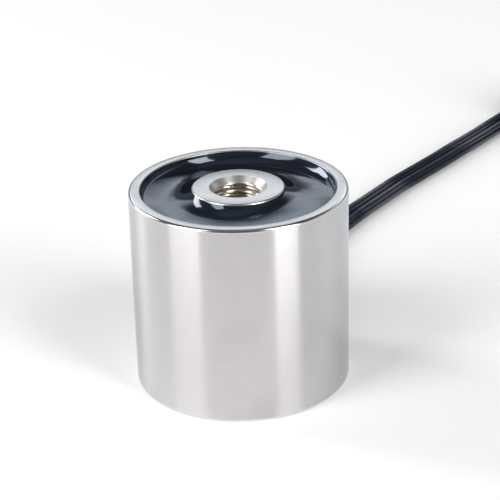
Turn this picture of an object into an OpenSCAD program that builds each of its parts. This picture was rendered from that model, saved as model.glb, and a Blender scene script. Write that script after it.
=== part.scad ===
// Holding electromagnet: a steel pot with a centre core, a potted coil and two leads.
// Millimetres, base on z = 0, pole face up, lead hole on the +Y side.

/* [Shell] */
// Outer diameter of the cup
shell_d = 20; // [18:0.5:30]
// Height from the base to the pole face
shell_h = 18.8; // [15:0.1:30]
// Thickness of the side wall
shell_wall = 1.1; // [0.8:0.05:1.5]
// Thickness of the closed base
base_t = 3; // [2:0.1:5]
// Chamfer on the outer edges
edge_chamfer = 0.25; // [0.1:0.05:0.5]
// Chamfer on the inner edge of the rim
rim_chamfer = 0.1; // [0.05:0.01:0.2]

/* [Core] */
// Diameter of the pole core
core_d = 8.5; // [7.5:0.1:9.5]
// Width of the shoulder that sits on the base
core_shoulder = 0.55; // [0.3:0.05:0.8]
// Chamfer on the edge of the core's face
core_chamfer = 0.15; // [0.1:0.01:0.3]
// Thread diameter of the tapped hole
thread_d = 5; // [4:0.5:5]
// Thread pitch of the tapped hole
thread_pitch = 0.8; // [0.7:0.1:1]
// How much wider than the thread its countersunk mouths are
mouth_extra = 0.3; // [0.1:0.05:0.5]

/* [Bobbin] */
// Clearance between the bobbin and the core
bobbin_fit = 0.05; // [0.02:0.01:0.2]
// Wall of the bobbin's tube
hub_t = 0.7; // [0.5:0.05:1]
// Thickness of each flange
flange_t = 0.7; // [0.5:0.05:1]
// Clearance between the flanges and the cup's wall
flange_gap = 0.2; // [0.1:0.05:0.4]
// Height of the chamber for the lead joints
chamber_h = 2.2; // [1.9:0.1:3]

/* [Winding] */
// How far the winding stays inside the flange edge
winding_inset = 0.7; // [0.4:0.1:1.2]
// Diameter of the enamelled wire
wire_d = 0.3; // [0.2:0.02:0.4]
// Thickness of the tape over the winding
tape_t = 0.15; // [0.1:0.01:0.3]

/* [Potting] */
// Depth of the resin's level below the pole face
potting_drop = 0.95; // [0.6:0.05:1.5]
// Resin over the bobbin
potting_cover = 1.2; // [0.8:0.1:2]
// How far below the pole face the resin's edges end
potting_edge = 0.15; // [0.1:0.01:0.3]
// Width of the raised edge at the core
core_edge_w = 0.9; // [0.5:0.05:1.2]
// Width of the raised edge at the cup
shell_edge_w = 0.9; // [0.5:0.05:1.2]
// How far the middle of the resin sinks
potting_dish = 0.06; // [0.02:0.01:0.12]
// How far the resin in the lead hole stays behind the cup's outside
plug_recess = 0.1; // [0.05:0.01:0.3]

/* [Leads] */
// Outer diameter of a lead
lead_d = 1.4; // [1:0.1:1.6]
// Space between two leads side by side
lead_space = 0.02; // [0.01:0.01:0.05]
// How much wider than a lead its hole in the cup is
lead_hole_extra = 0.3; // [0.2:0.05:0.4]
// Diameter of the tinned conductor
tip_d = 0.62; // [0.4:0.02:0.8]
// Stripped length at the lead's end
tip_l = 5; // [3:0.5:8]
// Length of a solder joint
joint_l = 1.4; // [1:0.1:1.6]
// Diameter of a solder joint
joint_d = 0.8; // [0.7:0.05:0.9]
// Wall of the sleeve over a solder joint
sleeve_t = 0.25; // [0.15:0.01:0.28]

/* [Coil and tie] */
// Middle radius of the wound leads, in lead diameters
coil_ratio = 5; // [5:0.1:6]
// Thickness of the tie
tie_t = 0.2; // [0.15:0.05:0.4]
// Angle of the coil that the tie covers
tie_angle = 22; // [15:1:30]
// Length of the tie's twisted end
tie_end_l = 6; // [4:0.5:9]

/* [Hidden] */
$fn = 96;
shell_r = shell_d / 2;
cup_r = shell_r - shell_wall;
core_r = core_d / 2;
spigot_r = core_r - core_shoulder;
tap_r = (thread_d - thread_pitch) / 2;
mouth_r = (thread_d + mouth_extra) / 2;
mouth_h = mouth_r - tap_r;
hub_in_r = core_r + bobbin_fit;
hub_out_r = hub_in_r + hub_t;
flange_r = cup_r - flange_gap;
chamber_z = base_t + flange_t;
divider_z = chamber_z + chamber_h;
window_z = divider_z + flange_t;
resin_z = shell_h - potting_drop;
bobbin_z = resin_z - potting_cover;
window_top = bobbin_z - flange_t;
winding_r = flange_r - winding_inset;
tape_r = winding_r + tape_t;
edge_h = potting_drop - potting_edge;
edge_steps = 8;
lead_r = lead_d / 2;
lead_pitch = lead_d + lead_space;
lead_rest = lead_r + lead_space;
hole_r = lead_r + lead_hole_extra / 2;
exit_z = chamber_z + chamber_h / 2;
wire_end_y = hub_out_r + wire_d * 1.2;
joint_y = wire_end_y + wire_d;
lead_start_y = joint_y + joint_l;
sleeve_r = joint_d / 2 + sleeve_t;
// Route of the lead pair: sideways, distance from the cup, share of the exit height left
lead_route = [
    [0, 0, 1],
    [0, 3, 1],
    [0.2, 6, 0.93],
    [0.5, 9, 0.74],
    [1, 12, 0.47],
    [1.6, 15, 0.22],
    [2.3, 18, 0.07],
    [3.1, 21, 0.01],
    [4, 24, 0],
    [5, 27, 0],
    [6.2, 30, 0],
    [7.4, 33, 0],
    [8.6, 36, 0],
    [10, 39, 0],
    [11.4, 42, 0],
    [12.8, 45, 0],
    [14.1, 48, 0],
    [15.5, 51, 0],
    [16.9, 54, 0.01],
    [18.3, 57, 0.03],
    [19.7, 60, 0.047]
];
// Route of a lead's end after the coil: forward, outward, share of the coil's top height left
tail_route = [
    [0, 0, 1],
    [3.5, 0, 1],
    [7, 0, 1],
    [10, 0.1, 0.66],
    [13, 0.3, 0.24],
    [15.5, 0.6, 0.03],
    [18, 0.9, 0],
    [20.5, 1.3, 0],
    [23, 1.8, 0]
];
tail_b_points = 7;
lead_heading = 65;
lead_in = 7;
coil_turn_end = 155;
coil_climb = 60;
tie_at = 250;
coil_r = coil_ratio * lead_d;
coil_in_r = coil_r - lead_pitch;
coil_w = 2 * lead_pitch;
coil_top_z = tie_t + 2.5 * lead_pitch;
coil_lanes = [coil_r - lead_pitch / 2, coil_r + lead_pitch / 2];
route_end = lead_route[len(lead_route) - 1];
coil_x = route_end[0] + lead_in * cos(lead_heading) + coil_r * sin(lead_heading);
coil_y = shell_r + route_end[1] + lead_in * sin(lead_heading) - coil_r * cos(lead_heading);
tail_dir = [cos(lead_heading - coil_turn_end), sin(lead_heading - coil_turn_end), 0];
tail_out = [-tail_dir[1], tail_dir[0], 0];
tube_sides = 8;

function unit(v) = v / norm(v);
function heading_at(p, i) = unit(p[min(i + 1, len(p) - 1)] - p[max(i - 1, 0)]);
function side_of(t) = unit([t[1], -t[0], 0]);
function lane(p, off) = [for (i = [0:len(p) - 1]) p[i] + off * side_of(heading_at(p, i))];
function ring_at(c, t, r) = [
    for (k = [0:tube_sides - 1])
        let (a = (k + 0.5) * 360 / tube_sides)
        c + r * (cos(a) * side_of(t) + sin(a) * cross(side_of(t), t))
];
function pair_points() = concat(
    [[0, lead_start_y, exit_z]],
    [for (p = lead_route) [p[0], shell_r + p[1], lead_rest + p[2] * (exit_z - lead_rest)]]
);
function tail_points(lane_r, n) = [
    for (i = [0:n - 1])
        let (p = tail_route[i])
        [coil_x, coil_y, lead_rest + p[2] * (coil_top_z - lead_rest)]
        + p[0] * tail_dir + (lane_r + p[1]) * tail_out
];

// Tube along a route, closed at both ends
module tube(p, r) {
    n = len(p);
    s = tube_sides;
    points = [for (i = [0:n - 1]) each ring_at(p[i], heading_at(p, i), r)];
    walls = [
        for (i = [0:n - 2])
            for (k = [0:s - 1])
                [i * s + k, i * s + (k + 1) % s, (i + 1) * s + (k + 1) % s, (i + 1) * s + k]
    ];
    first = [for (k = [s - 1:-1:0]) k];
    last = [for (k = [0:s - 1]) (n - 1) * s + k];
    polyhedron(points, concat(walls, [first], [last]), convexity = 6);
}

// Round bar along +Y at the height of the leads
module bar_y(x, y, r, l) {
    translate([x, y, exit_z])
        rotate([-90, 0, 0])
            cylinder(r = r, h = l);
}

// Long hole for both leads, from y outward
module lead_slot(y, r, l) {
    bar_y(-lead_pitch / 2, y, r, l);
    bar_y(lead_pitch / 2, y, r, l);
    translate([-lead_pitch / 2, y, exit_z - r])
        cube([lead_pitch, l, 2 * r]);
}

// Steel cup with a closed base and the lead hole
module shell() color("#c9c8c4") difference() {
    rotate_extrude()
        polygon([
            [spigot_r, 0],
            [shell_r - edge_chamfer, 0],
            [shell_r, edge_chamfer],
            [shell_r, shell_h - edge_chamfer],
            [shell_r - edge_chamfer, shell_h],
            [cup_r + rim_chamfer, shell_h],
            [cup_r, shell_h - rim_chamfer],
            [cup_r, base_t],
            [spigot_r, base_t]
        ]);
    lead_slot(core_r, hole_r, shell_r);
}

// Pole core with a spigot in the base, tapped right through
module core() color("#cfcdc8") rotate_extrude()
    polygon([
        [mouth_r, 0],
        [spigot_r, 0],
        [spigot_r, base_t],
        [core_r, base_t],
        [core_r, shell_h - core_chamfer],
        [core_r - core_chamfer, shell_h],
        [mouth_r, shell_h],
        [tap_r, shell_h - mouth_h],
        [tap_r, mouth_h]
    ]);

// Coil former with a joint chamber under its winding space
module bobbin() color("#e9e4d6") difference() {
    rotate_extrude()
        polygon([
            [hub_in_r, base_t],
            [flange_r, base_t],
            [flange_r, chamber_z],
            [hub_out_r, chamber_z],
            [hub_out_r, divider_z],
            [flange_r, divider_z],
            [flange_r, window_z],
            [hub_out_r, window_z],
            [hub_out_r, window_top],
            [flange_r, window_top],
            [flange_r, bobbin_z],
            [hub_in_r, bobbin_z]
        ]);
    for (x = [-1, 1])
        translate([x * lead_pitch / 2, wire_end_y, divider_z - 1])
            cylinder(d = wire_d, h = flange_t + 2);
}

// Wire end from the winding to its solder joint
module wire_end(x) {
    translate([x, wire_end_y, exit_z])
        cylinder(d = wire_d, h = window_z - exit_z + wire_d);
    bar_y(x, wire_end_y, wire_d / 2, joint_y - wire_end_y);
    translate([x, wire_end_y, exit_z])
        sphere(d = wire_d);
}

// Enamelled copper winding and its two ends
module winding() color("#a4552a") {
    rotate_extrude()
        translate([hub_out_r, window_z])
            square([winding_r - hub_out_r, window_top - window_z]);
    wire_end(-lead_pitch / 2);
    wire_end(lead_pitch / 2);
}

// Tape around the winding
module winding_tape() color("#d8b93a") rotate_extrude()
    translate([winding_r, window_z])
        square([tape_t, window_top - window_z]);

// Resin cast around the coil, with raised edges at both walls
module potting() color("#15171b") difference() {
    union() {
        rotate_extrude()
            polygon(concat(
                [for (i = [0:edge_steps])
                    [core_r + core_edge_w * i / edge_steps,
                        resin_z + edge_h * pow(1 - i / edge_steps, 2)]],
                [[(core_r + cup_r) / 2, resin_z - potting_dish]],
                [for (i = [edge_steps:-1:0])
                    [cup_r - shell_edge_w * i / edge_steps,
                        resin_z + edge_h * pow(1 - i / edge_steps, 2)]],
                [[cup_r, base_t], [flange_r, base_t], [flange_r, chamber_z]],
                [[hub_out_r, chamber_z], [hub_out_r, divider_z], [flange_r, divider_z]],
                [[flange_r, window_z], [tape_r, window_z], [tape_r, window_top]],
                [[flange_r, window_top], [flange_r, bobbin_z], [core_r, bobbin_z]]
            ));
        intersection() {
            lead_slot(lead_start_y, hole_r, shell_r);
            cylinder(r = shell_r - plug_recess, h = shell_h);
        }
    }
    for (x = [-lead_pitch / 2, lead_pitch / 2]) {
        bar_y(x, lead_start_y, lead_r, shell_r);
        bar_y(x, joint_y, sleeve_r, joint_l);
        wire_end(x);
    }
}

// Solder joint between a wire end and a lead
module joint(x) color("#b9bcc0") bar_y(x, joint_y, joint_d / 2, joint_l);

module joint_a() joint(lead_pitch / 2);

module joint_b() joint(-lead_pitch / 2);

// Insulating sleeve over a solder joint
module joint_sleeve(x) color("#e8e6df") difference() {
    bar_y(x, joint_y, sleeve_r, joint_l);
    bar_y(x, joint_y - 1, joint_d / 2, joint_l + 2);
}

module joint_sleeve_a() joint_sleeve(lead_pitch / 2);

module joint_sleeve_b() joint_sleeve(-lead_pitch / 2);

// Lead nearer the coil's middle, from its joint to the coil
module lead_a() color("#22262d") tube(lane(pair_points(), lead_pitch / 2), lead_r);

// Lead on the coil's outer side, from its joint to the coil
module lead_b() color("#22262d") tube(lane(pair_points(), -lead_pitch / 2), lead_r);

// Outer shape of both leads where they are wound
module lead_coil() color("#1d2026") translate([coil_x, coil_y, tie_t]) rotate(lead_heading) {
    rotate_extrude()
        translate([coil_in_r, 0])
            square([coil_w, 2 * lead_pitch]);
    rotate(90 - coil_turn_end)
        rotate_extrude(angle = coil_turn_end + coil_climb)
            translate([coil_in_r + lead_space, lead_pitch])
                square([coil_w - 2 * lead_space, 2 * lead_pitch]);
    translate([2 * lead_space - lead_in, coil_in_r + 2 * lead_space, 0])
        cube([lead_in, coil_w - 4 * lead_space, lead_pitch]);
}

// End of the inner lead after the coil
module lead_tail_a() color("#22262d") tube(tail_points(coil_lanes[0], len(tail_route)), lead_r);

// End of the outer lead after the coil
module lead_tail_b() color("#22262d") tube(tail_points(coil_lanes[1], tail_b_points), lead_r);

// Tinned conductor past the end of a lead's insulation
module lead_tip(p) color("#c4c6c8") {
    n = len(p);
    d = heading_at(p, n - 1);
    translate(p[n - 1])
        rotate([0, acos(d[2]), atan2(d[1], d[0])])
            cylinder(d = tip_d, h = tip_l);
}

module lead_tip_a() lead_tip(tail_points(coil_lanes[0], len(tail_route)));

module lead_tip_b() lead_tip(tail_points(coil_lanes[1], tail_b_points));

// Tie around the wound leads, with its ends twisted together
module lead_tie() color("#101113") translate([coil_x, coil_y, 0]) rotate(lead_heading + 90 - tie_at) {
    rotate(-tie_angle / 2)
        rotate_extrude(angle = tie_angle)
            difference() {
                translate([coil_in_r - lead_space - tie_t, 0])
                    square([coil_w + 2 * (lead_space + tie_t), 2 * (lead_pitch + tie_t) + lead_space]);
                translate([coil_in_r - lead_space, tie_t])
                    square([coil_w + 2 * lead_space, 2 * lead_pitch + lead_space]);
            }
    translate([coil_r + lead_pitch + lead_space + tie_t, 0, lead_pitch + tie_t])
        rotate([0, 70, 0])
            linear_extrude(height = tie_end_l, twist = 900, slices = 40, segments = 4)
                square([4 * tie_t, 2 * tie_t], center = true);
}

shell();
core();
bobbin();
winding();
winding_tape();
potting();
joint_a();
joint_b();
joint_sleeve_a();
joint_sleeve_b();
lead_a();
lead_b();
lead_coil();
lead_tail_a();
lead_tail_b();
lead_tip_a();
lead_tip_b();
lead_tie();
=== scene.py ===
import bpy
import math
from mathutils import Matrix, Vector, noise


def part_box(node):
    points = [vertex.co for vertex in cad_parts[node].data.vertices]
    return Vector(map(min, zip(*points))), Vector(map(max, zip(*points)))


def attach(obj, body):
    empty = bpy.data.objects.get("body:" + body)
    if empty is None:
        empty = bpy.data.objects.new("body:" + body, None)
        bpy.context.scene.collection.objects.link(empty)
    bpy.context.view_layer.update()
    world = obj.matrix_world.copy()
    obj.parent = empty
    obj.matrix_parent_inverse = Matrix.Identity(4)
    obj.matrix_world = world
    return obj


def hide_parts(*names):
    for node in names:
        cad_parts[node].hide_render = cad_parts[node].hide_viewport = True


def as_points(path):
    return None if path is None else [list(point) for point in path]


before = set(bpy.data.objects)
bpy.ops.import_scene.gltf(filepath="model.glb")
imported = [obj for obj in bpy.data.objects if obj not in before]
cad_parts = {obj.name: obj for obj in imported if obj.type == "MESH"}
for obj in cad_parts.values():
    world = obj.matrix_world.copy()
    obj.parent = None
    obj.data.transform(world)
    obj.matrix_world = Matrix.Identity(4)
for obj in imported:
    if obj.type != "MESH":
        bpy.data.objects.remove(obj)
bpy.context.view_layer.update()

# Sizes of the cup, the core and its thread in metres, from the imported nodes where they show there
MM = 0.001
SHELL_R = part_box("shell")[1].x
SHELL_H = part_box("shell")[1].z
CUP_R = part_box("potting")[1].x
CORE_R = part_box("core")[1].x
BASE_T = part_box("bobbin")[0].z
BOBBIN_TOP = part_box("bobbin")[1].z
SPIGOT_R = CORE_R - 0.55 * MM
CORE_ROUND = 0.15 * MM
SHELL_ROUND = 0.25 * MM
RIM_ROUND = 0.1 * MM
THREAD_R = 2.5 * MM
THREAD_PITCH = 0.8 * MM
TAP_R = THREAD_R - THREAD_PITCH / 2
MOUTH_R = 2.65 * MM
MOUTH_H = MOUTH_R - TAP_R
RING_SEGMENTS = 256
CORE_SEGMENTS = 128
THREAD_ROWS = 330
SLOT_ARC_STEPS = 12
SLOT_PAST = 1 * MM

# Angles in degrees past which an edge between two faces stays sharp
SHARP = 30
SHARP_NICKEL = 28
SHARP_RESIN = 40
SHARP_TIE = 40
SHARP_LEAD = 50

# How upright a face's normal is on a flat face, and at least on a rounded edge
FLAT = 0.999
LEANING = 0.02

# The resin's surface. Angles around it are in degrees to the right of the camera
RESIN_TOP = SHELL_H - 0.06 * MM
RESIN_DROP = 1.05 * MM
RESIN_TILT, RESIN_TILT_AT = 0.015, 70
RESIN_WAVE, RESIN_WAVE_L = 0.008 * MM, 2.2 * MM
RESIN_STEPS = 72
PLUG_RECESS = 0.1 * MM
PLUG_BITE = 0.5 * MM

# The resin's raised edge at the core: it widens to the back, and is low in front at the right
CORE_EDGE_R = 1.6 * MM
CORE_BACK_R = 2.4 * MM
CORE_BOWL, CORE_BOWL_W = 0.25 * MM, 3.0 * MM
CORE_UNEVEN, CORE_UNEVEN_SCALE = 0.06, 1.6
CORE_LOW, CORE_LOW_AT, CORE_LOW_SPREAD = 0.7, 42, 46

# The resin's raised edge at the cup: it slopes more at the left, and CUP_EDGE has its radius in mm
CUP_BOWL, CUP_BOWL_W = 0.08 * MM, 1.6 * MM
CUP_UNEVEN, CUP_UNEVEN_SCALE = 0.05, 2.1
CUP_UNEVEN_SHIFT = Vector((0, 0, 7))
LEFT_BOWL, LEFT_BOWL_W = 0.4 * MM, 1.0 * MM
LEFT_BOWL_AT, LEFT_BOWL_SPREAD = 250, 38
CUP_EDGE = [
    (0, 0.45), (60, 0.35), (90, 0.25), (105, 0.5), (120, 1.05), (135, 1.2), (150, 1.5), (165, 1.45),
    (180, 1.15), (195, 0.9), (210, 0.75), (225, 0.55), (250, 0.35), (270, 0.3), (315, 0.4), (360, 0.45),
]

# Sizes of the leads and their bare tips
EXIT_Z = (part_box("joint_a")[0].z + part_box("joint_a")[1].z) / 2
LEAD_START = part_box("joint_a")[1].y
LEAD_D = 1.4 * MM
LEAD_PITCH = 1.42 * MM
LEAD_REST = 0.72 * MM
LEAD_STEP = 0.5 * MM
LEAD_SIDES = 24
HOLE_R = 0.85 * MM
TIP_D = 0.62 * MM
TIP_L = 5 * MM
TIP_IN = 1 * MM
TIP_STRANDS, TIP_STRAND_R, TIP_TWISTS = 7, TIP_D / 5.2, 1.2

# Route of the lead pair: sideways, distance from the cup (mm), share of the exit height left
LEAD_ROUTE = [
    (0, 0, 1), (0, 3, 1), (0.2, 6, 0.93), (0.5, 9, 0.74), (1, 12, 0.47), (1.6, 15, 0.22), (2.3, 18, 0.07),
    (3.1, 21, 0.01), (4, 24, 0), (5, 27, 0), (6.2, 30, 0), (7.4, 33, 0), (8.6, 36, 0), (10, 39, 0),
    (11.4, 42, 0), (12.8, 45, 0), (14.1, 48, 0), (15.5, 51, 0), (16.9, 54, 0.01), (18.3, 57, 0.03),
    (19.7, 60, 0.047),
]
# Route of a lead's end after the coil: forward, outward (mm), share of the coil's top height left
TAIL_ROUTE = [
    (0, 0, 1), (3.5, 0, 1), (7, 0, 1), (10, 0.1, 0.66), (13, 0.3, 0.24), (15.5, 0.6, 0.03), (18, 0.9, 0),
    (20.5, 1.3, 0), (23, 1.8, 0),
]
TAIL_B_POINTS = 7
LEAD_HEADING = math.radians(65)
LEAD_IN = 7 * MM
LEAD_IN_POINTS = 2

# The tie: its strip has a wire along the middle, and its ends are twisted together
TIE_T = 0.2 * MM
TIE_HALF = LEAD_PITCH + 0.01 * MM
TIE_ANGLE = math.radians(22)
TIE_AT = math.radians(250)
TIE_EDGE = 0.45
TIE_WIRE = 0.3
TIE_CORNER_STEPS = 8
TIE_STATIONS = 16
TIE_END_L = 6 * MM
TIE_END_R = 0.4 * MM
TIE_END_TWISTS = 2.5
TIE_END_RISE = math.radians(20)

# The coil of both leads, which climbs to its next layer near the end of each turn
COIL_R = 5 * LEAD_D
COIL_LOW = TIE_T + LEAD_PITCH / 2
COIL_TURNS = 2 + 155 / 360
COIL_CLIMB = 60 / 360
COIL_POINTS = 40

# Glossy stretches of a lead: the middle of one, and the distance between two, in centimetres along it
SHINE_AT = 3.6
SHINE_EVERY = 2.3

# The photograph's view: where the camera stands around the pole face's centre, and how it is turned
VIEW_AZIMUTH = math.radians(13)
VIEW_ELEVATION = math.radians(22.43)
VIEW_DISTANCE = 154.9 * MM
VIEW_PAN = math.radians(0.338)
VIEW_TILT = math.radians(2.147)
VIEW_ROLL = math.radians(-1.635)
VIEW_LENS = 123.04

# Soft boxes: degrees right of the camera, width, lower and upper edge seen from the part, and radiance
BOX_DISTANCE = 0.6
SOFT_BOXES = [
    ("left_box", -57, 33, 1, 57, 5.1),
    ("right_box", 47.4, 25, 1, 57, 7.2),
    ("back_left_box", -117, 17, 2, 42, 9.0),
]

# Levels of the room: its light on the part, and what metal and resin mirror of it
ROOM_LIGHT = 0.26
ROOM_WALL = 0.08
ROOM_FOOT = 0.10
ROOM_CEILING = 0.16
ROOM_BAND = 1.5
FLOOR_HALF = 3.0


class Socket:
    """An output of a node. Python operators on it add Math nodes."""

    def __init__(self, graph, socket):
        self.graph, self.socket = graph, socket

    def math(self, operation, *others):
        return self.graph.node("ShaderNodeMath", {"operation": operation}, [self, *others])

    def __add__(self, other):
        return self.math("ADD", other)

    def __sub__(self, other):
        return self.math("SUBTRACT", other)

    def __rsub__(self, other):
        return self.graph.node("ShaderNodeMath", {"operation": "SUBTRACT"}, [other, self])

    def __mul__(self, other):
        return self.math("MULTIPLY", other)

    def __truediv__(self, other):
        return self.math("DIVIDE", other)

    __radd__, __rmul__ = __add__, __mul__


class Graph:
    """A node tree, to which node() adds any node."""

    def __init__(self, tree):
        self.tree = tree
        tree.nodes.clear()

    def node(self, kind, settings=None, values=(), out=0):
        """Adds a node and gives its output, or a list of them where out is a tuple."""
        made = self.tree.nodes.new(kind)
        for name, value in (settings or {}).items():
            setattr(made, name, value)
        for key, value in values.items() if isinstance(values, dict) else enumerate(values):
            if isinstance(value, (Socket, list)):
                for source in value if isinstance(value, list) else [value]:
                    self.tree.links.new(source.socket, made.inputs[key])
            else:
                made.inputs[key].default_value = value
        if isinstance(out, tuple):
            return [Socket(self, made.outputs[name]) for name in out]
        return Socket(self, made.outputs[out]) if made.outputs else None

    def ramp(self, value, low, high):
        """0 below low, 1 above high, and smooth between."""
        return self.node("ShaderNodeMapRange", {"interpolation_type": "SMOOTHSTEP"},
                         {0: value, 1: low, 2: high})

    def mix(self, factor, a, b):
        """A blend of two colours."""
        return self.node("ShaderNodeMix", {"data_type": "RGBA"}, {0: factor, 6: rgb(a), 7: rgb(b)}, out=2)


def rgb(colour):
    """A colour as a socket takes it."""
    return colour if isinstance(colour, Socket) else (*colour, 1)


def make_finish(name, paint, **constants):
    """A material: paint(graph) gives the sockets that vary, and constants are set on the shader itself."""
    material = bpy.data.materials.new(name)
    material.use_nodes = True
    graph = Graph(material.node_tree)
    values = {key.replace("_", " ").title().replace("Ior", "IOR"): value for key, value in constants.items()}
    values.update(paint(graph))
    shader = graph.node("ShaderNodeBsdfPrincipled", None, values)
    graph.node("ShaderNodeOutputMaterial", None, {"Surface": shader})
    return material


def millimetres(graph):
    """Object coordinates in millimetres."""
    coord = graph.node("ShaderNodeTexCoord", out="Object")
    return graph.node("ShaderNodeVectorMath", {"operation": "SCALE"}, {0: coord, "Scale": 1 / MM})


def cloud(graph, where, scale, detail=3.0, roughness=0.55):
    return graph.node("ShaderNodeTexNoise", {"noise_dimensions": "3D"},
                      {"Vector": where, "Scale": scale, "Detail": detail, "Roughness": roughness})


def grooves(graph, along, scale):
    """Turning marks: noise along one direction."""
    return graph.node("ShaderNodeTexNoise", {"noise_dimensions": "1D"},
                      {"W": along, "Scale": scale, "Detail": 2.0})


def bump(graph, height, distance, strength=1.0):
    return graph.node("ShaderNodeBump", None, {"Height": height, "Distance": distance, "Strength": strength})


def nickel(shade, rough, groove_depth):
    """A paint for nickel plate: turning marks around the axis, faint stains and a few pits."""
    def paint(graph):
        mm = millimetres(graph)
        x, y, z = graph.node("ShaderNodeSeparateXYZ", None, [mm], out=(0, 1, 2))
        turned = z + (x * x + y * y).math("SQRT")
        fine = grooves(graph, turned, 14.0)
        coarse = grooves(graph, turned, 1.7)
        stain = graph.ramp(cloud(graph, mm, 0.35, 5.0), 0.42, 0.72)
        pits = graph.ramp(cloud(graph, mm, 3.1, 2.0), 0.775, 0.8)
        tint = graph.mix(stain, shade, [0.97 * value for value in shade])
        vary = 0.9 + (fine - 0.5) * 0.2 + (coarse - 0.5) * 0.1 + stain * 0.08
        return {"Base Color": graph.mix(pits * 0.6, tint, (0.42, 0.40, 0.37)),
                "Roughness": rough * vary + pits * 0.2,
                "Normal": bump(graph, fine - pits * 2, groove_depth * MM)}
    return paint


def mottled(low, high, scale, detail, rough, rough_more, depth=0, strength=0):
    """A paint that wanders in patches between two colours, with its bump's depth in mm."""
    def paint(graph):
        patch = cloud(graph, millimetres(graph), scale, detail)
        values = {"Base Color": graph.mix(patch, low, high), "Roughness": rough + patch * rough_more}
        if depth:
            values["Normal"] = bump(graph, patch, depth * MM, strength)
        return values
    return paint


def paint_resin(graph):
    mm = millimetres(graph)
    wave = cloud(graph, mm, 0.22, 2.0)
    dust = graph.ramp(cloud(graph, mm, 7.0, 3.0), 0.7, 0.8)
    tint = graph.mix(wave, (0.005, 0.0065, 0.0115), (0.008, 0.010, 0.017))
    return {"Base Color": graph.mix(dust * 0.3, tint, (0.05, 0.055, 0.065)),
            "Roughness": 0.07 + wave * 0.05 + dust * 0.15,
            "Normal": bump(graph, wave, 0.05 * MM, 0.6)}


def paint_lead(graph):
    """Drawn insulation with scuffs, and glossy stretches along it."""
    mm = millimetres(graph)
    uv = graph.node("ShaderNodeUVMap", {"uv_map": "along"})
    stretched = graph.node("ShaderNodeVectorMath", {"operation": "MULTIPLY"}, [uv, (12, 5, 1)])
    drawn = cloud(graph, stretched, 3.0, 3.0, 0.5)
    scuff = graph.ramp(cloud(graph, mm, 1.1, 4.0), 0.55, 0.75)
    turn = (graph.node("ShaderNodeSeparateXYZ", None, [uv]) - SHINE_AT) * (math.tau / SHINE_EVERY)
    shine = graph.ramp(turn.math("COSINE") + (cloud(graph, mm, 0.6, 2.0) - 0.5), -0.1, 0.9)
    return {"Base Color": graph.mix(scuff, (0.004, 0.0055, 0.0115), (0.007, 0.0095, 0.018)),
            "Roughness": 0.26 + (drawn - 0.5) * 0.06 + scuff * 0.06,
            "Coat Weight": shine * 0.6,
            "Normal": bump(graph, drawn, 0.003 * MM, 0.4)}


def paint_copper(graph):
    mm = millimetres(graph)
    turns = graph.node("ShaderNodeTexWave", {"bands_direction": "Z", "wave_profile": "SIN"},
                       {"Vector": mm, "Scale": 1.05})
    tone = cloud(graph, mm, 1.5, 3.0)
    return {"Base Color": graph.mix(tone, (0.45, 0.17, 0.07), (0.62, 0.27, 0.11)),
            "Roughness": 0.25 + tone * 0.15, "Normal": bump(graph, turns, 0.08 * MM)}


def paint_tape(graph):
    height = graph.node("ShaderNodeSeparateXYZ", None, [millimetres(graph)], out=2)
    weave = grooves(graph, height, 2.2)
    return {"Base Color": graph.mix(weave, (0.62, 0.44, 0.05), (0.72, 0.53, 0.09)),
            "Roughness": 0.28 + weave * 0.2, "Normal": bump(graph, weave, 0.02 * MM, 0.4)}


def paint_sleeve(graph):
    weave = graph.node("ShaderNodeTexWave", {"bands_direction": "DIAGONAL"},
                       {"Vector": millimetres(graph), "Scale": 3.0})
    return {"Base Color": graph.mix(weave, (0.62, 0.60, 0.54), (0.80, 0.78, 0.72)),
            "Roughness": 0.6 + weave * 0.2, "Normal": bump(graph, weave, 0.03 * MM, 0.6)}


def paint_floor(graph):
    faint = cloud(graph, millimetres(graph), 0.01, 2.0)
    return {"Base Color": graph.mix(faint, (0.93, 0.93, 0.93), (0.95, 0.95, 0.95))}


TURNED_NICKEL = make_finish("turned_nickel", nickel((0.58, 0.567, 0.565), 0.23, 0.0008), metallic=1.0,
                            anisotropic=1.0, anisotropic_rotation=0.25, specular_tint=rgb((0.92, 0.96, 1.0)))
# The same nickel plate as the turned side, painted lighter on the flat faces: painted light
FACED_NICKEL_PAINTED_LIGHT = make_finish("faced_nickel_painted_light", nickel((0.80, 0.765, 0.725), 0.27, 0.0012), metallic=1.0)
BRIGHT_EDGE = make_finish("bright_edge", nickel((0.74, 0.72, 0.70), 0.17, 0.0002), metallic=1.0)
SOFT_EDGE = make_finish("soft_edge", nickel((0.62, 0.60, 0.58), 0.32, 0.0002), metallic=1.0)
# The same nickel plate on faces that look into the cup, rougher and painted darker: painted shade
DULL_INNER_NICKEL_PAINTED_SHADE = make_finish("dull_inner_nickel_painted_shade", nickel((0.36, 0.355, 0.35), 0.40, 0.0010), metallic=1.0)
COUNTERSUNK_NICKEL = make_finish("countersunk_nickel", nickel((0.51, 0.49, 0.455), 0.42, 0.0010), metallic=1.0)
TAPPED_NICKEL = make_finish("tapped_nickel", nickel((0.66, 0.605, 0.53), 0.30, 0.0006), metallic=1.0)
CAST_RESIN = make_finish("cast_resin", paint_resin, ior=1.55, specular_ior_level=0.74,
                         specular_tint=rgb((0.72, 0.85, 1.0)))
RESIN_FILM = make_finish("resin_film", mottled((0.006, 0.0075, 0.012), (0.012, 0.014, 0.02), 2.0, 3.0,
                                               0.4, 0.2), ior=1.5, specular_ior_level=0.3)
LEAD_PVC = make_finish("lead_pvc", paint_lead, ior=1.5, specular_ior_level=0.17,
                       specular_tint=rgb((0.80, 0.84, 1.0)), coat_roughness=0.16, coat_ior=1.6)
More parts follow.
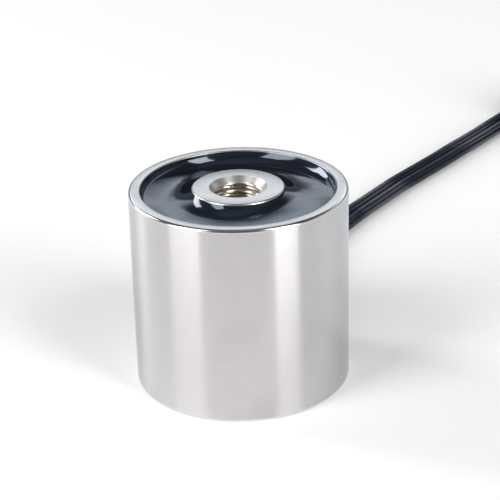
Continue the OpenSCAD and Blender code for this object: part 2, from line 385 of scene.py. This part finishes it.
TINNED_STRANDS = make_finish("tinned_strands", mottled((0.62, 0.61, 0.58), (0.78, 0.77, 0.74), 2.5, 4.0,
                                                       0.22, 0.2, 0.02, 0.4), metallic=1.0)
SOLDER = make_finish("solder", mottled((0.55, 0.55, 0.55), (0.72, 0.72, 0.73), 4.0, 3.0, 0.2, 0.25),
                     metallic=1.0)
BOBBIN_NYLON = make_finish("bobbin_nylon", mottled((0.70, 0.66, 0.55), (0.78, 0.74, 0.63), 6.0, 4.0,
                                                   0.42, 0.15, 0.01, 0.4), ior=1.5)
ENAMELLED_COPPER = make_finish("enamelled_copper", paint_copper, metallic=1.0)
WINDING_TAPE = make_finish("winding_tape", paint_tape, ior=1.5)
GLASS_SLEEVE = make_finish("glass_sleeve", paint_sleeve, ior=1.5)
TIE_PLASTIC = make_finish("tie_plastic", mottled((0.012, 0.012, 0.014), (0.03, 0.03, 0.033), 5.0, 4.0,
                                                 0.45, 0.2, 0.02, 0.5), ior=1.5)


def smooth(mesh, sharp):
    """Smooth shading, with edges past an angle in degrees kept sharp."""
    mesh.shade_smooth()
    mesh.set_sharp_from_angle(angle=math.radians(sharp))


def mesh_piece(name, points, faces, material, sharp=SHARP):
    mesh = bpy.data.meshes.new(name)
    mesh.from_pydata(points, [], faces)
    mesh.materials.append(material)
    smooth(mesh, sharp)
    piece = bpy.data.objects.new(name, mesh)
    bpy.context.scene.collection.objects.link(piece)
    return piece


def apply_modifiers(piece):
    """Leaves a piece as the plain mesh that its modifiers make of it."""
    bpy.context.view_layer.update()
    mesh = bpy.data.meshes.new_from_object(piece.evaluated_get(bpy.context.evaluated_depsgraph_get()))
    piece.modifiers.clear()
    piece.data = mesh


def toward(angle):
    """The level direction at an angle from +X."""
    return Vector((math.cos(angle), math.sin(angle), 0))


def eased(share):
    """A share from 0 to 1 with a soft start and end."""
    return share * share * (3 - 2 * share)


def lathe(profile, segments, closed=True):
    """Points and faces of a profile of (radius, height) turned about the axis."""
    points, faces, n = [], [], len(profile)
    for i in range(segments):
        turn = math.tau * i / segments
        points += [(r * math.cos(turn), r * math.sin(turn), z) for r, z in profile]
    for i in range(segments):
        j = (i + 1) % segments
        for k in range(n if closed else n - 1):
            m = (k + 1) % n
            faces.append((i * n + k, j * n + k, j * n + m, i * n + m))
    return points, faces


def smooth_line(points, step):
    """A smooth line through points, with a point about every step."""
    ends = [2 * points[0] - points[1], *points, 2 * points[-1] - points[-2]]
    line = []
    for a, b, c, d in zip(ends, ends[1:], ends[2:], ends[3:]):
        count = max(1, round((c - b).length / step))
        t1 = (b - a).length ** 0.5
        t2 = t1 + (c - b).length ** 0.5
        t3 = t2 + (d - c).length ** 0.5
        for i in range(count):
            t = t1 + (t2 - t1) * i / count
            share = (t - t1) / (t2 - t1)
            ab, bc, cd = a.lerp(b, t / t1), b.lerp(c, share), c.lerp(d, (t - t2) / (t3 - t2))
            line.append(ab.lerp(bc, t / t2).lerp(bc.lerp(cd, (t - t1) / (t3 - t1)), share))
    return line + [points[-1]]


def heading_at(line, i):
    return (line[min(i + 1, len(line) - 1)] - line[max(i - 1, 0)]).normalized()


def right_of(heading):
    return Vector((heading.y, -heading.x, 0)).normalized()


def tube(name, line, radius, sides, material):
    """A round tube along a line, with its length in centimetres and its turn kept as a map."""
    points, faces, lengths, n = [], [], [0.0], len(line)
    for i, centre in enumerate(line):
        heading = heading_at(line, i)
        side = right_of(heading)
        top = side.cross(heading)
        for k in range(sides):
            turn = math.tau * k / sides
            points.append(centre + radius * (math.cos(turn) * side + math.sin(turn) * top))
        if i:
            lengths.append(lengths[-1] + (centre - line[i - 1]).length)
    for i in range(n - 1):
        for k in range(sides):
            m = (k + 1) % sides
            faces.append((i * sides + k, i * sides + m, (i + 1) * sides + m, (i + 1) * sides + k))
    faces += [tuple(range(sides - 1, -1, -1)), tuple((n - 1) * sides + k for k in range(sides))]
    piece = mesh_piece(name, points, faces, material, SHARP_LEAD)
    along = piece.data.uv_layers.new(name="along")
    for face in piece.data.polygons:
        spots = [divmod(piece.data.loops[corner].vertex_index, sides) for corner in face.loop_indices]
        turns = [turn for _, turn in spots]
        seam = max(turns) - min(turns) > 1
        for corner, (ring, turn) in zip(face.loop_indices, spots):
            along.data[corner].uv = (lengths[ring] * 100, 1.0 if seam and turn == 0 else turn / sides)
    return piece


def swung(a, b, angle):
    """Two directions at right angles, swung by an angle from the first towards the second."""
    return a * math.cos(angle) + b * math.sin(angle), b * math.cos(angle) - a * math.sin(angle)


def add_camera():
    stand = VIEW_DISTANCE * Vector((0, -math.cos(VIEW_ELEVATION), math.sin(VIEW_ELEVATION)))
    ahead, right = -stand.normalized(), Vector((1, 0, 0))
    up = right.cross(ahead)
    ahead, right = swung(ahead, right, VIEW_PAN)
    ahead, up = swung(ahead, up, -VIEW_TILT)
    right, up = swung(right, up, VIEW_ROLL)
    turn = Matrix.Rotation(VIEW_AZIMUTH, 3, "Z")
    facing = Matrix((turn @ right, turn @ up, -(turn @ ahead))).transposed().to_4x4()
    data = bpy.data.cameras.new("camera")
    data.lens, data.sensor_width, data.clip_start = VIEW_LENS, 36, 0.01
    camera = bpy.data.objects.new("camera", data)
    camera.matrix_world = Matrix.Translation(turn @ stand + Vector((0, 0, SHELL_H))) @ facing
    bpy.context.scene.collection.objects.link(camera)
    bpy.context.scene.camera = camera


def coil_centre():
    x, y, _ = LEAD_ROUTE[-1]
    onward = toward(LEAD_HEADING)
    return Vector((x * MM, SHELL_R + y * MM, 0)) + LEAD_IN * onward + COIL_R * right_of(onward)


def add_leads():
    """Both leads, side by side along the route, around the coil and out to their ends."""
    pair = [Vector((0, LEAD_START, EXIT_Z))]
    for x, y, share in LEAD_ROUTE:
        pair.append(Vector((x * MM, SHELL_R + y * MM, LEAD_REST + share * (EXIT_Z - LEAD_REST))))
    coil = coil_centre()
    for name, lane, tail_points in (("a", 1, len(TAIL_ROUTE)), ("b", -1, TAIL_B_POINTS)):
        line = [p + lane * LEAD_PITCH / 2 * right_of(heading_at(pair, i)) for i, p in enumerate(pair)]
        lane_r = COIL_R - lane * LEAD_PITCH / 2
        for i in range(-LEAD_IN_POINTS, round(COIL_TURNS * COIL_POINTS) + 1):
            turn = max(i, 0) / COIL_POINTS
            step_up = max((turn % 1 - 1 + COIL_CLIMB) / COIL_CLIMB, 0)
            height = COIL_LOW + (math.floor(turn) + eased(step_up)) * LEAD_PITCH
            point = coil + lane_r * toward(LEAD_HEADING + math.pi / 2 - math.tau * turn)
            before = min(i, 0) * LEAD_IN / (LEAD_IN_POINTS + 1)
            line.append(point + Vector((0, 0, height)) + before * toward(LEAD_HEADING))
        end = LEAD_HEADING - math.tau * COIL_TURNS
        coil_top = COIL_LOW + 2 * LEAD_PITCH
        for forward, out, share in TAIL_ROUTE[1:tail_points]:
            at = coil + Vector((0, 0, LEAD_REST + share * (coil_top - LEAD_REST)))
            outward = (lane_r + out * MM) * toward(end + math.pi / 2)
            line.append(at + forward * MM * toward(end) + outward)
        path = smooth_line(line, LEAD_STEP)
        yield name, tube("insulated_lead_" + name, path, LEAD_D / 2, LEAD_SIDES, LEAD_PVC), path


def geometry_tree(name, floats=(), integers=(), takes_geometry=False):
    """An empty Geometry Nodes tree with named inputs, and those inputs as sockets."""
    tree = bpy.data.node_groups.new(name, "GeometryNodeTree")
    kinds = {"Geometry": "NodeSocketGeometry"} if takes_geometry else {}
    kinds.update({label: "NodeSocketFloat" for label in floats})
    kinds.update({label: "NodeSocketInt" for label in integers})
    kinds["Finish"] = "NodeSocketMaterial"
    for label, kind in kinds.items():
        tree.interface.new_socket(label, in_out="INPUT", socket_type=kind)
    tree.interface.new_socket("Geometry", in_out="OUTPUT", socket_type="NodeSocketGeometry")
    graph = Graph(tree)
    return graph, dict(zip(kinds, graph.node("NodeGroupInput", out=tuple(kinds))))


def close_tree(graph, geometry, material):
    whole = graph.node("GeometryNodeRealizeInstances", None, [geometry])
    whole = graph.node("GeometryNodeSetMaterial", None, {"Geometry": whole, "Material": material})
    graph.node("NodeGroupOutput", None, [whole])


def run_tree(piece, graph, values):
    """Runs a tree on a piece, with its inputs set by their identifiers, and leaves a plain mesh."""
    modifier = piece.modifiers.new("shape", "NODES")
    modifier.node_group = graph.tree
    for item in graph.tree.interface.items_tree:
        if item.item_type == "SOCKET" and item.in_out == "INPUT" and item.name in values:
            modifier[item.identifier] = values[item.name]
    apply_modifiers(piece)


def thread_tree():
    """Joins a tapped bore, a right-hand thread with two countersunk mouths, to a turned body."""
    sizes = ("Height", "Minor radius", "Major radius", "Pitch", "Mouth radius")
    graph, has = geometry_tree("tapped_bore", sizes, ("Segments", "Rows"), True)
    grid = graph.node("GeometryNodeMeshGrid", None, {
        "Size X": 1.0, "Size Y": 1.0, "Vertices X": has["Segments"] + 1, "Vertices Y": has["Rows"]})
    spot = graph.node("GeometryNodeInputPosition")
    across, upward = graph.node("ShaderNodeSeparateXYZ", None, [spot], out=(0, 1))
    around = across + 0.5
    height = (upward + 0.5) * has["Height"]
    phase = (height / has["Pitch"] - around).math("FRACT")
    depth = graph.node("ShaderNodeMapRange", None, {
        0: (phase * math.tau).math("COSINE"), 1: -1.0, 2: 1.0, 3: has["Minor radius"], 4: has["Major radius"]})
    mouth = has["Mouth radius"] - height.math("MINIMUM", has["Height"] - height)
    in_mouth = mouth.math("GREATER_THAN", has["Minor radius"])
    radius = depth + in_mouth * (mouth - depth)
    angle = around * math.tau
    at = graph.node("ShaderNodeCombineXYZ", None,
                    [radius * angle.math("COSINE"), radius * angle.math("SINE"), height])
    bore = graph.node("GeometryNodeSetPosition", None, {"Geometry": grid, "Position": at})
    bore = graph.node("GeometryNodeFlipFaces", None, [bore])
    both = graph.node("GeometryNodeJoinGeometry", None, {0: [has["Geometry"], bore]})
    whole = graph.node("GeometryNodeMergeByDistance", None, {"Geometry": both, "Distance": 0.001 * MM})
    close_tree(graph, whole, has["Finish"])
    return graph


def rounded(r, z, size, start, end, steps=6):
    """Points of an arc about a point of the profile, between two angles in degrees."""
    turns = [math.radians(start + (end - start) * i / steps) for i in range(steps + 1)]
    return [(r + size * math.cos(turn), z + size * math.sin(turn)) for turn in turns]


def nickel_faces(piece, side, edge, bore_r=0):
    """Gives each face the finish of its place: side, flat face (painted light), rounded edge, inward face
    (painted shade), mouth or thread.
    """
    finishes = [side, FACED_NICKEL_PAINTED_LIGHT, edge, DULL_INNER_NICKEL_PAINTED_SHADE, COUNTERSUNK_NICKEL, TAPPED_NICKEL]
    piece.data.materials.clear()
    for material in finishes:
        piece.data.materials.append(material)
    for face in piece.data.polygons:
        x, y, z = face.center
        upright = abs(face.normal.z)
        if math.hypot(x, y) < bore_r:
            material = TAPPED_NICKEL if MOUTH_H < z < SHELL_H - MOUTH_H else COUNTERSUNK_NICKEL
        elif upright > FLAT:
            # Flat faces take the nickel that is painted lighter: painted light
            material = FACED_NICKEL_PAINTED_LIGHT
        elif face.normal.x * x + face.normal.y * y < 0:
            # Faces that look into the cup take the nickel that is painted darker: painted shade
            material = DULL_INNER_NICKEL_PAINTED_SHADE
        else:
            material = edge if upright > LEANING else side
        face.material_index = finishes.index(material)


def slot_block(inner, outer):
    """Points and faces of the lead slot's rounded block, from one distance along Y to another."""
    rim = []
    for side in (1, -1):
        for k in range(SLOT_ARC_STEPS + 1):
            turn = -math.pi / 2 + math.pi * k / SLOT_ARC_STEPS
            across, rise = HOLE_R * math.cos(turn), HOLE_R * math.sin(turn)
            rim.append((side * (LEAD_PITCH / 2 + across), EXIT_Z + side * rise))
    n = len(rim)
    points = [Vector((x, y, z)) for y in (outer, inner) for x, z in rim]
    faces = [(k, n + k, n + (k + 1) % n, (k + 1) % n) for k in range(n)]
    return points, faces + [tuple(range(n)), tuple(range(2 * n - 1, n - 1, -1))]


def add_shell():
    """The turned cup, with its edges rounded and the lead slot cut through its wall."""
    profile = [(SPIGOT_R, 0)]
    profile += rounded(SHELL_R - SHELL_ROUND, SHELL_ROUND, SHELL_ROUND, -90, 0)
    profile += rounded(SHELL_R - SHELL_ROUND, SHELL_H - SHELL_ROUND, SHELL_ROUND, 0, 90)
    profile += rounded(CUP_R + RIM_ROUND, SHELL_H - RIM_ROUND, RIM_ROUND, 90, 180)
    profile += [(CUP_R, BASE_T), (SPIGOT_R, BASE_T)]
    shell = mesh_piece("turned_shell", *lathe(profile, RING_SEGMENTS), TURNED_NICKEL)
    cutter = mesh_piece("slot_cutter", *slot_block(CUP_R - SLOT_PAST, SHELL_R + SLOT_PAST), TURNED_NICKEL)
    cut = shell.modifiers.new("slot", "BOOLEAN")
    cut.object, cut.solver = cutter, "EXACT"
    apply_modifiers(shell)
    bpy.data.objects.remove(cutter)
    smooth(shell.data, SHARP_NICKEL)
    nickel_faces(shell, TURNED_NICKEL, BRIGHT_EDGE)
    return shell


def add_core():
    """The shouldered core with its tapped hole."""
    profile = [(MOUTH_R, 0), (SPIGOT_R, 0), (SPIGOT_R, BASE_T), (CORE_R, BASE_T)]
    profile += rounded(CORE_R - CORE_ROUND, SHELL_H - CORE_ROUND, CORE_ROUND, 0, 90)
    profile += [(MOUTH_R, SHELL_H)]
    core = mesh_piece("tapped_core", *lathe(profile, CORE_SEGMENTS, closed=False), TURNED_NICKEL)
    run_tree(core, thread_tree(), {
        "Height": SHELL_H, "Minor radius": TAP_R, "Major radius": THREAD_R, "Pitch": THREAD_PITCH,
        "Mouth radius": MOUTH_R, "Segments": CORE_SEGMENTS, "Rows": THREAD_ROWS, "Finish": TAPPED_NICKEL})
    smooth(core.data, SHARP_NICKEL)
    nickel_faces(core, RESIN_FILM, SOFT_EDGE, MOUTH_R - 0.01 * MM)
    return core


def climb(away, width, rise):
    """Height of resin that climbs a wall by rise, at a distance from the wall: an arc, upright if narrow."""
    if rise > width:
        return rise * (1 - math.sqrt(1 - max(1 - away / width, 0) ** 2))
    reach = math.sqrt(2 * width * rise - rise ** 2)
    return width - math.sqrt(width ** 2 - max(reach - away, 0) ** 2)


def bowl(away, rise, width):
    """Height of the gentle slope before the resin's edge."""
    return rise * max(1 - away / width, 0) ** 2


def hump(right, at, spread, power=2):
    """1 at an angle and 0 far from it, in degrees."""
    return math.exp(-((math.remainder(right - at, 360) / spread) ** power))


def uneven(amount, spot):
    """A share a little under 1 that wanders from spot to spot."""
    return 1 - amount * (1 + noise.noise(spot))


def cup_edge(right):
    """Radius of the resin's edge at the cup wall, at an angle in degrees to the right of the camera."""
    for (a, low), (b, high) in zip(CUP_EDGE, CUP_EDGE[1:]):
        if a <= right <= b:
            return (low + (high - low) * eased((right - a) / (b - a))) * MM


def add_resin():
    """The cast resin: a ring that climbs both walls unevenly, and the plug around the leads."""
    low = SHELL_H - RESIN_DROP
    rise = RESIN_TOP - low
    points, faces = [], []
    for i in range(RING_SEGMENTS):
        turn = math.tau * i / RING_SEGMENTS
        away = toward(turn)
        right = math.degrees(turn - VIEW_AZIMUTH + math.pi / 2) % 360
        tilt = RESIN_TILT * math.cos(math.radians(right - RESIN_TILT_AT))
        core_rise = (rise - CORE_BOWL - tilt * CORE_R) * uneven(CORE_UNEVEN, away * CORE_UNEVEN_SCALE)
        core_rise *= 1 - CORE_LOW * hump(right, CORE_LOW_AT, CORE_LOW_SPREAD, 4)
        core_r = CORE_EDGE_R + CORE_BACK_R * (0.5 - 0.5 * math.cos(math.radians(right))) ** 2
        cup_r = cup_edge(right)
        left = hump(right, LEFT_BOWL_AT, LEFT_BOWL_SPREAD)
        cup_bowl, cup_bowl_w = CUP_BOWL + LEFT_BOWL * left, CUP_BOWL_W + LEFT_BOWL_W * left
        cup_rise = rise - cup_bowl - tilt * CUP_R
        cup_rise *= uneven(CUP_UNEVEN, away * CUP_UNEVEN_SCALE + CUP_UNEVEN_SHIFT)
        for k in range(RESIN_STEPS + 1):
            share = 0.5 - 0.5 * math.cos(math.pi * k / RESIN_STEPS)
            r = CORE_R + (CUP_R - CORE_R) * share
            height = tilt * r + RESIN_WAVE * noise.noise(away * r / RESIN_WAVE_L)
            height += climb(r - CORE_R, core_r, core_rise) + bowl(r - CORE_R, CORE_BOWL, CORE_BOWL_W)
            height += climb(CUP_R - r, cup_r, cup_rise) + bowl(CUP_R - r, cup_bowl, cup_bowl_w)
            points.append(away * r + Vector((0, 0, low + height)))
        points += [away * r + Vector((0, 0, BOBBIN_TOP)) for r in (CUP_R, CORE_R)]
    ring = len(points) // RING_SEGMENTS
    for i in range(RING_SEGMENTS):
        j = (i + 1) % RING_SEGMENTS
        for k in range(ring):
            m = (k + 1) % ring
            faces.append((i * ring + k, i * ring + m, j * ring + m, j * ring + k))
    plug_points, plug_faces = slot_block(CUP_R - PLUG_BITE, SHELL_R - PLUG_RECESS)
    faces += [tuple(len(points) + k for k in face) for face in plug_faces]
    return mesh_piece("cast_resin_ring", points + plug_points, faces, CAST_RESIN, SHARP_RESIN)


def strand_tree():
    """Strands twisted around each other, lying along +Z."""
    graph, has = geometry_tree("twisted_strands", ("Length", "Radius", "Strand radius", "Twists"), ("Strands",))
    lane = has["Radius"] - has["Strand radius"]
    helix = graph.node("GeometryNodeCurveSpiral", None, {
        "Resolution": 24, "Rotations": has["Twists"], "Start Radius": lane, "End Radius": lane,
        "Height": has["Length"]})
    ring = graph.node("GeometryNodeCurvePrimitiveCircle", None, {
        "Resolution": 8, "Radius": has["Strand radius"]})
    strand = graph.node("GeometryNodeCurveToMesh", None, {
        "Curve": helix, "Profile Curve": ring, "Fill Caps": True})
    spots = graph.node("GeometryNodeMeshLine", None, {"Count": has["Strands"], "Offset": (0, 0, 0)})
    turn = graph.node("GeometryNodeInputIndex") * math.tau / has["Strands"]
    spun = graph.node("ShaderNodeCombineXYZ", None, {"Z": turn})
    bundle = graph.node("GeometryNodeInstanceOnPoints", None, {
        "Points": spots, "Instance": strand, "Rotation": spun})
    close_tree(graph, bundle, has["Finish"])
    return graph


def add_strands(name, graph, foot, ahead, material, sizes):
    """Twisted strands that start at a foot point."""
    piece = mesh_piece(name, [], [], material)
    run_tree(piece, graph, {**sizes, "Finish": material})
    turn = ahead.to_track_quat("Z", "Y").to_matrix().to_4x4()
    piece.data.transform(Matrix.Translation(foot) @ turn)
    piece.data.shade_smooth()
    return piece


def add_tip(name, line, graph):
    """The bare, tinned end of a lead."""
    ahead = (line[-1] - line[-2]).normalized()
    return add_strands("bare_tip_" + name, graph, line[-1] - TIP_IN * ahead, ahead, TINNED_STRANDS, {
        "Length": TIP_L + TIP_IN, "Radius": TIP_D / 2, "Strand radius": TIP_STRAND_R,
        "Twists": TIP_TWISTS, "Strands": TIP_STRANDS})


def add_tie(graph):
    """The twist tie: a strip wrapped around two layers of leads, and its twisted ends."""
    corner_r = LEAD_D / 2
    around = []
    for quarter, (side, top) in enumerate(((1, 1), (-1, 1), (-1, -1), (1, -1))):
        for k in range(TIE_CORNER_STEPS + 1):
            turn = math.pi / 2 * (quarter + k / TIE_CORNER_STEPS)
            around.append((Vector((side, top)) * (TIE_HALF - corner_r), toward(turn).to_2d()))
    n, points, faces = len(around), [], []
    middle = LEAD_HEADING + math.pi / 2 - TIE_AT
    coil = coil_centre() + Vector((0, 0, TIE_T + TIE_HALF))
    for i in range(TIE_STATIONS + 1):
        across = 2 * i / TIE_STATIONS - 1
        thick = TIE_T * (TIE_EDGE + (1 - TIE_EDGE) * math.exp(-((across / TIE_WIRE) ** 2)))
        out = toward(middle + TIE_ANGLE / 2 * across)
        for offset in (thick, 0):
            for centre, away in around:
                r, z = centre + (corner_r + offset) * away
                points.append(coil + (COIL_R + r) * out + Vector((0, 0, z)))
    last = 2 * n * TIE_STATIONS
    for k in range(n):
        m = (k + 1) % n
        for a in range(0, last, 2 * n):
            b = a + 2 * n
            faces += [(a + k, b + k, b + m, a + m), (a + n + m, b + n + m, b + n + k, a + n + k)]
        faces += [(k, m, n + m, n + k), (last + m, last + k, last + n + k, last + n + m)]
    band = mesh_piece("tie_band", points, faces, TIE_PLASTIC, SHARP_TIE)
    out = toward(middle)
    ahead = out * math.cos(TIE_END_RISE) + Vector((0, 0, math.sin(TIE_END_RISE)))
    ends = add_strands("tie_ends", graph, coil + (COIL_R + TIE_HALF) * out, ahead, TIE_PLASTIC, {
        "Length": TIE_END_L, "Radius": TIE_END_R, "Strand radius": TIE_END_R / 2,
        "Twists": TIE_END_TWISTS, "Strands": 2})
    return [band, ends]


def add_light(name, azimuth, spread, low, high, radiance):
    """An upright soft box that faces the part's axis."""
    foot, head = (BOX_DISTANCE * math.tan(math.radians(edge)) for edge in (low, high))
    data = bpy.data.lights.new(name, "AREA")
    data.shape = "RECTANGLE"
    data.size, data.size_y = 2 * BOX_DISTANCE * math.tan(math.radians(spread / 2)), head - foot
    data.energy = radiance * math.pi * data.size * data.size_y
    away = toward(VIEW_AZIMUTH - math.pi / 2 + math.radians(azimuth))
    middle = BOX_DISTANCE * away + Vector((0, 0, (foot + head) / 2))
    lamp = bpy.data.objects.new(name, data)
    lamp.matrix_world = Matrix.Translation(middle) @ away.to_track_quat("Z", "Y").to_matrix().to_4x4()
    bpy.context.scene.collection.objects.link(lamp)


def add_room():
    """White to the camera, soft light on the part, and in reflections a dim room with a lit band behind."""
    world = bpy.data.worlds.new("studio")
    bpy.context.scene.world = world
    world.use_nodes = True
    graph = Graph(world.node_tree)
    camera, glossy, through = graph.node("ShaderNodeLightPath", out=(
        "Is Camera Ray", "Is Glossy Ray", "Is Transmission Ray"))
    ray = graph.node("ShaderNodeTexCoord", out="Generated")
    back, up = graph.node("ShaderNodeSeparateXYZ", None, [ray], out=(1, 2))
    # A ray's direction, where up is 0 on the level and 1 overhead
    foot = 1 - graph.ramp(up, 0.30, 0.66)
    ceiling = graph.ramp(up, 0.86, 0.97)
    band = graph.ramp(up, 0.325, 0.387) * (1 - graph.ramp(up, 0.40, 0.60)) * graph.ramp(back, -0.2, 0.6)
    mirrored = ROOM_WALL + ROOM_FOOT * foot + ROOM_CEILING * ceiling + ROOM_BAND * band
    level = ROOM_LIGHT + (1 - ROOM_LIGHT) * (camera + through) + glossy * (mirrored - ROOM_LIGHT)
    tint = graph.mix(glossy, (1, 1, 1), (0.90, 0.97, 1.08))
    light = graph.node("ShaderNodeBackground", None, {"Color": tint, "Strength": level})
    graph.node("ShaderNodeOutputWorld", None, {"Surface": light})


def add_stage():
    """The pale floor, the room and the soft boxes."""
    corners = [(x * FLOOR_HALF, y * FLOOR_HALF, 0) for x, y in ((-1, -1), (1, -1), (1, 1), (-1, 1))]
    pale = make_finish("pale_floor", paint_floor, roughness=0.9, specular_ior_level=0.0)
    mesh_piece("floor", corners, [(0, 1, 2, 3)], pale)
    add_room()
    for box in SOFT_BOXES:
        add_light(*box)


add_camera()
strands = strand_tree()
tie = add_tie(strands)
for piece in tie:
    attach(piece, "root")
    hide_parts("lead_tie")
for name, lead, path in add_leads():
    tip = add_tip(name, path, strands)
    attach(lead, "root")
    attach(tip, "root")
    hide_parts("lead_tip_" + name)
    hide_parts("lead_" + name, "lead_tail_" + name, "lead_coil")
    length = sum((b - a).length for a, b in zip(path, path[1:]))
    [tip] + (tie if name == "a" else [])
    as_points(path)

for piece, record_slot, node in ((add_shell(), "nickel_shell", "shell"), (add_core(), "nickel_core", "core"),
                                 (add_resin(), "black_resin", "potting")):
    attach(piece, "root")
    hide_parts(node)

for node, material in (("bobbin", BOBBIN_NYLON), ("winding", ENAMELLED_COPPER), ("winding_tape", WINDING_TAPE),
                       ("joint_a", SOLDER), ("joint_b", SOLDER), ("joint_sleeve_a", GLASS_SLEEVE),
                       ("joint_sleeve_b", GLASS_SLEEVE)):
    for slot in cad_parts[node].material_slots:
        slot.material = material

add_stage()
bpy.context.scene.view_settings.view_transform = "Standard"
